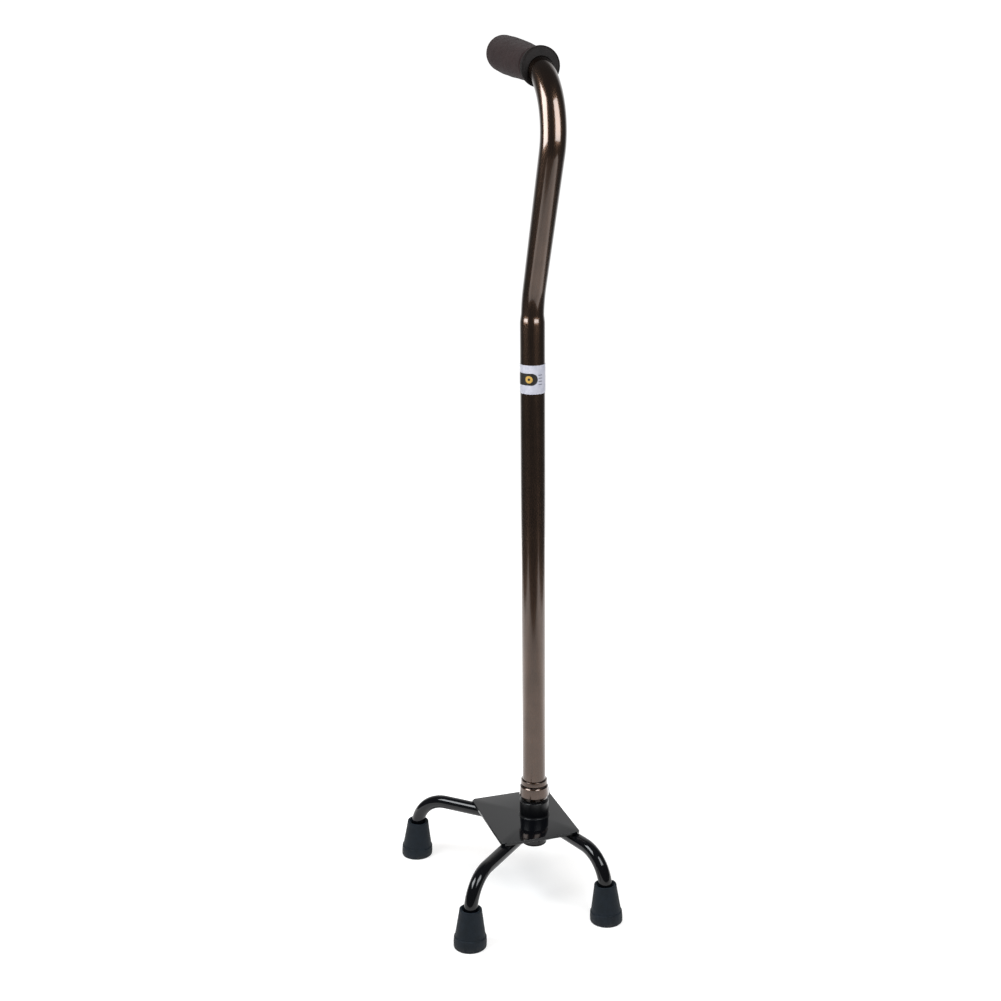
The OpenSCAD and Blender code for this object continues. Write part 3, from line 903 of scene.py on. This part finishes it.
def make_socket():
    """Socket tube through the plate, the boss over it and its weld."""
    bore = INNER_R + 0.05
    low, high = socket_low.z, socket_high.z
    tube = rounded([(bore, low, 0), (SOCKET_R, low, 0.4), (SOCKET_R, high, 0), (bore, high, 0)], True)
    fit(turned("base_socket_tube", tube, on_shaft()), "black_enamel", "base", "base_socket")
    foot, top = boss_low.z, boss_high.z
    boss = turned("socket_boss_turned", rounded([
        (SOCKET_R, foot, 0), (BOSS_R, foot, 0), (BOSS_R, top, 1.4), (bore, top, 0.4), (bore, high, 0),
        (SOCKET_R, high, 0),
    ], True), on_shaft())
    fit(boss, "black_enamel", "base", "socket_boss", material=SATIN_ENAMEL)

    def lapped(p):
        """Laps of the weld bead, deepest at its outer edge."""
        share = max(0.0, (math.hypot(p.x, p.y) - BOSS_R) / BEAD_W)
        shrink = 1 - BEAD_LAP * share * (1 - abs(math.sin(math.atan2(p.y, p.x) * BEAD_LAPS)))
        return Vector((p.x * shrink, p.y * shrink, p.z))

    bead = rounded([
        (BOSS_R - 0.2, foot, 0), (BOSS_R + BEAD_W, foot, 0.1), (BOSS_R + 0.5, foot + 0.45, 0.9),
        (BOSS_R - 0.2, foot + BEAD_W + 0.4, 0.1),
    ], True)
    weld = turned("socket_weld_bead", bead, on_shaft(), segments=288, change=lapped)
    fit(weld, "black_enamel", "base", "socket_weld", material=SATIN_ENAMEL)


def make_socket_ends():
    low, _ = node_box("socket_cap")
    cap = rounded([
        (0, low.z), (SOCKET_R, low.z, 0.6), (SOCKET_R, socket_low.z, 0.2), (INNER_R, socket_low.z, 0),
        (INNER_R, socket_low.z + 1, 0), (INNER_R - WALL - 0.05, socket_low.z + 1, 0),
        (INNER_R - WALL - 0.05, socket_low.z + 2.8, 0.3), (0, socket_low.z + 2.8),
    ], False)
    cap = turned("socket_cap_moulded", cap, on_shaft(), closed=False)
    fit(cap, "black_plastic", "base", "socket_cap")
    low, high = node_box("socket_rivet")
    reach = high.y - SHAFT_Y
    dome = [
        (2.2, SOCKET_R - 0.3), (3.6, SOCKET_R - 0.3), (3.55, SOCKET_R + 0.3), (3.1, SOCKET_R + 1.0),
        (2.2, SOCKET_R + 1.55), (1.2, reach - 0.05), (0, reach),
    ]
    outline = [(r, -z) for r, z in reversed(dome)] + dome
    place = Matrix.Translation((0, SHAFT_Y, (low.z + high.z) / 2))
    place @= Matrix.Rotation(math.pi / 2, 4, "X")
    rivet = turned("socket_rivet_domed", outline, place, closed=False, segments=48)
    fit(rivet, "zinc_steel", "base", "socket_rivet")


# ------------------------------------------------------------------ legs and tips

SPLAY = math.radians(LEG_SPLAY)
LEG_Z = plate_low.z - LEG_R
LEG_RISE = (LEG_Z - LEG_BEND * (1 - math.sin(SPLAY))) / math.cos(SPLAY)
LEG_REACH = LEG_BEND * math.cos(SPLAY) + LEG_RISE * math.sin(SPLAY)

# Distance from the shaft where an outer leg ends, and from the plate's middle where an inner leg ends
OUTER_LEG_END = 15.5
INNER_LEG_END = 12

# Weld beads beside a leg: length, where they start from the leg's end, how far apart, and their points
BEAD_LONG = 20
BEAD_BACK = 22
BEAD_SIDE = 5.3
BEAD_UNDER = 1.1
BEAD_STEPS = 60


def leg_span(foot):
    """Length of the straight part of a leg under the plate."""
    x, y, heading, _ = foot
    if y < 0:
        return math.hypot(x, y - SHAFT_Y) - OUTER_LEG_END - LEG_REACH
    return (abs(x) - INNER_LEG_END) / math.cos(math.radians(heading)) - LEG_REACH


def heading_of(foot):
    _, _, heading, end = foot
    return math.radians(heading if end > 0 else 180 - heading)


def leg_walk(foot):
    walk = Walk(LEG_SEAT * math.cos(SPLAY), LEG_R, -LEG_SEAT * math.sin(SPLAY), -SPLAY)
    walk.straight(LEG_RISE - LEG_SEAT, steps=4)
    walk.bend(LEG_BEND, LEG_SPLAY - 90, steps=36)
    return walk.straight(leg_span(foot), steps=6)


def make_leg(side, foot):
    x, y, _, _ = foot
    leg = pipe("leg_tube_" + side, leg_walk(foot).stations, heading_of(foot), (x, y, 0), LEG_WALL, 64)
    fit(leg, "black_enamel", "base", "leg_" + side)


def make_leg_welds():
    """Two lapped beads beside each leg, under the plate."""
    bead = bmesh.new()
    for foot in FEET.values():
        x, y, _, _ = foot
        start = LEG_REACH + leg_span(foot) - BEAD_BACK
        for side in (-1, 1):
            line = [(bead_radius(k), BEAD_LONG * k / BEAD_STEPS) for k in range(BEAD_STEPS + 1)]
            outline = [(0, 0), *line, (0, BEAD_LONG)]
            place = Matrix.Translation((x, y, 0)) @ Matrix.Rotation(heading_of(foot), 4, "Z")
            place @= Matrix.Translation((-start, side * BEAD_SIDE, plate_low.z - BEAD_UNDER))
            place @= Matrix.Rotation(-math.pi / 2, 4, "Y")
            part = turned("weld_part", outline, place, closed=False, segments=24)
            bead.from_mesh(part.data)
            bpy.data.objects.remove(part)
    mesh = bpy.data.meshes.new("leg_welds_lapped")
    bead.to_mesh(mesh)
    bead.free()
    fit(shown("leg_welds_lapped", mesh), "black_enamel", "base", "leg_welds")


def bead_radius(k):
    """Radius of a leg's weld bead, which swells at each lap."""
    end = math.sin(math.pi * min(1, k / 8, (BEAD_STEPS - k) / 8) / 2)
    return (1.6 + 0.3 * abs(math.sin(k * math.pi / 7.5))) * max(0.15, end)


def make_tip(side, foot):
    """Rubber tip with a ribbed sole, a stepped foot band and a thick, dished lip."""
    x, y, _, _ = foot
    sole = [(0, 0)]
    for r in (4.5, 8.0, 11.5):
        sole += [(r - 0.6, 0, 0.15), (r - 0.6, 1.3, 0.2), (r + 0.6, 1.3, 0.2), (r + 0.6, 0, 0.15)]
    outline = evenly(rounded(sole + [
        (TIP_R - 0.1, 0, 1.7), (TIP_R, 5, 3), (TIP_R - 0.35, 10.2, 0.5), (TIP_R - 1.15, 10.7, 0.5),
        (10.75, 33.0, 2.5), (10.3, TIP_H, 1.9), (8.7, TIP_H, 1.3), (7.1, 35.0, 0.8),
        (TIP_BORE, 34.2, 0.3), (TIP_BORE, LEG_SEAT - 1.2, 0), (0, LEG_SEAT - 1.2),
    ], False), 2.0)

    def lean(p):
        """Leans the tip with its leg while the sole stays flat on the floor."""
        tilt = SPLAY * min(1.0, p.z / TIP_FLAT)
        shift = p.z * math.tan(SPLAY)
        return Vector((p.x * math.cos(tilt) - shift, p.y, p.z + p.x * math.sin(tilt)))

    place = Matrix.Translation((x, y, 0)) @ Matrix.Rotation(heading_of(foot), 4, "Z")
    tip = turned("tip_moulded_" + side, outline, place, closed=False, change=lean)
    fit(tip, "tip_rubber", "base", "tip_" + side)


# ------------------------------------------------------------------ small carried-over nodes

CARRIED = {
    "tube_end_plug": "black_plastic",
    "collet": "nylon",
    "glide_bush": "nylon",
    "button_spring": "zinc_steel",
    "tip_washers": "zinc_steel",
}


def paint_carried():
    for node, slot in CARRIED.items():
        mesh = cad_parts[node].data
        mesh.materials.clear()
        mesh.materials.append(MATERIALS[slot])


# ------------------------------------------------------------------ studio

# The camera stands this far round the shaft from +X towards -Y
CAMERA_TURN = 18.9
CAMERA_DISTANCE = 1467
CAMERA_HEIGHT = 821
CAMERA_PITCH = 16.45
CAMERA_YAW = 1.16
CAMERA_ROLL = -0.53
CAMERA_LENS = 60.35

AROUND = math.radians(CAMERA_TURN)
TO_CAMERA = Vector((math.cos(AROUND), -math.sin(AROUND), 0))
TO_RIGHT = Vector((math.sin(AROUND), math.cos(AROUND), 0))
UP = Vector((0, 0, 1))


def studio_point(turn, distance, height):
    """A point round the shaft: turn is from the camera's direction, to the right if positive."""
    a = math.radians(turn)
    way = TO_CAMERA * math.cos(a) + TO_RIGHT * math.sin(a)
    return (Vector((0, SHAFT_Y, height)) + way * distance) * MM


def make_camera():
    data = bpy.data.cameras.new("camera")
    data.lens = CAMERA_LENS
    data.sensor_width = 36
    camera = bpy.data.objects.new("camera", data)
    scene.collection.objects.link(camera)
    stance = Matrix((TO_RIGHT, UP, TO_CAMERA)).transposed()
    turn = stance @ Matrix.Rotation(math.radians(CAMERA_YAW), 3, "Y")
    turn = turn @ Matrix.Rotation(math.radians(-CAMERA_PITCH), 3, "X")
    turn = turn @ Matrix.Rotation(math.radians(CAMERA_ROLL), 3, "Z")
    stand = Matrix.Translation(studio_point(0, CAMERA_DISTANCE, CAMERA_HEIGHT))
    camera.matrix_world = stand @ turn.to_4x4()
    scene.camera = camera


# Tints of the lights, and the height on the shaft that the light overhead faces
COOL = (0.94, 0.975, 1.0)
WARM = (1.0, 0.95, 0.9)
TOP_LIGHT_AIM = 300


def softbox(name, turn, distance, height, wide, tall, glow, tint, aim_height=None):
    """A rectangular light that faces the shaft, level unless it has an aim_height.

    glow is how bright its face is.
    """
    data = bpy.data.lights.new(name, "AREA")
    data.shape = "RECTANGLE"
    data.size, data.size_y = wide * MM, tall * MM
    data.energy = glow * math.pi * data.size * data.size_y
    data.color = tint
    light = bpy.data.objects.new(name, data)
    scene.collection.objects.link(light)
    light.location = studio_point(turn, distance, height)
    aim = light.location - Vector((0, SHAFT_Y, height if aim_height is None else aim_height)) * MM
    light.rotation_mode = "QUATERNION"
    light.rotation_quaternion = aim.to_track_quat("Z", "Y")
    light.visible_camera = False
    return light


def make_lights():
    softbox("softbox_left", -66, 620, 862, 450, 634, 11, COOL)
    softbox("softbox_right", 38, 620, 911, 460, 742, 8, COOL)
    top = softbox("softbox_top", 180, 0, 2300, 1600, 1600, 3.4, WARM, TOP_LIGHT_AIM)
    top.visible_glossy = False


def make_world():
    """White behind the object, and a dim studio in front of it. What the camera sees is white."""
    world = bpy.data.worlds.new("studio")
    scene.world = world
    world.use_nodes = True
    world.node_tree.nodes.clear()
    nodes = Nodes(world.node_tree)
    way = nodes.add("TexCoord").outputs["Generated"]
    ahead = nodes.add("VectorMath", {0: way, 1: TO_CAMERA}, operation="DOT_PRODUCT")
    dim = nodes.ramp(ahead.outputs["Value"], -0.86, -0.5, 1.0, 0.13)
    room = nodes.add("Background", {"Strength": dim})
    seen = nodes.add("Background", {"Color": (1, 1, 1, 1), "Strength": 1.05})
    by_camera = nodes.add("LightPath").outputs["Is Camera Ray"]
    choose = nodes.add("MixShader", {0: by_camera, 1: room.outputs[0], 2: seen.outputs[0]})
    nodes.add("OutputWorld", {"Surface": choose.outputs[0]})


# White paper: how far it runs to each side of the shaft, to the front and to the back
PAPER_SIDE = 800
PAPER_FRONT = 690
PAPER_BACK = 1100
# Middle of the paper's dimmer part, in front of the shaft, and how far from it the glow grows
PAPER_HEART = 340
GLOW_FROM = 380
GLOW_TO = 700


def make_floor():
    foot = Vector((0, SHAFT_Y, 0))
    front, back, side = TO_CAMERA * PAPER_FRONT, TO_CAMERA * -PAPER_BACK, TO_RIGHT * PAPER_SIDE
    corners = [(foot + p) * MM for p in (front - side, front + side, back + side, back - side)]
    mesh = bpy.data.meshes.new("floor_paper")
    mesh.from_pydata(corners, [], [(0, 1, 2, 3)])
    mesh.materials.append(floor_paper())
    floor = bpy.data.objects.new("floor_paper", mesh)
    scene.collection.objects.link(floor)


make_camera()
make_handle_tube()
make_foam_grip()
make_grip_flange()
make_label()
make_collar()
make_snap_button()
make_inner_tube()
make_plate()
make_socket()
make_socket_ends()
for side, foot in FEET.items():
    make_leg(side, foot)
    make_tip(side, foot)
make_leg_welds()
paint_carried()
make_lights()
make_world()
make_floor()
scene.view_settings.view_transform = "Standard"
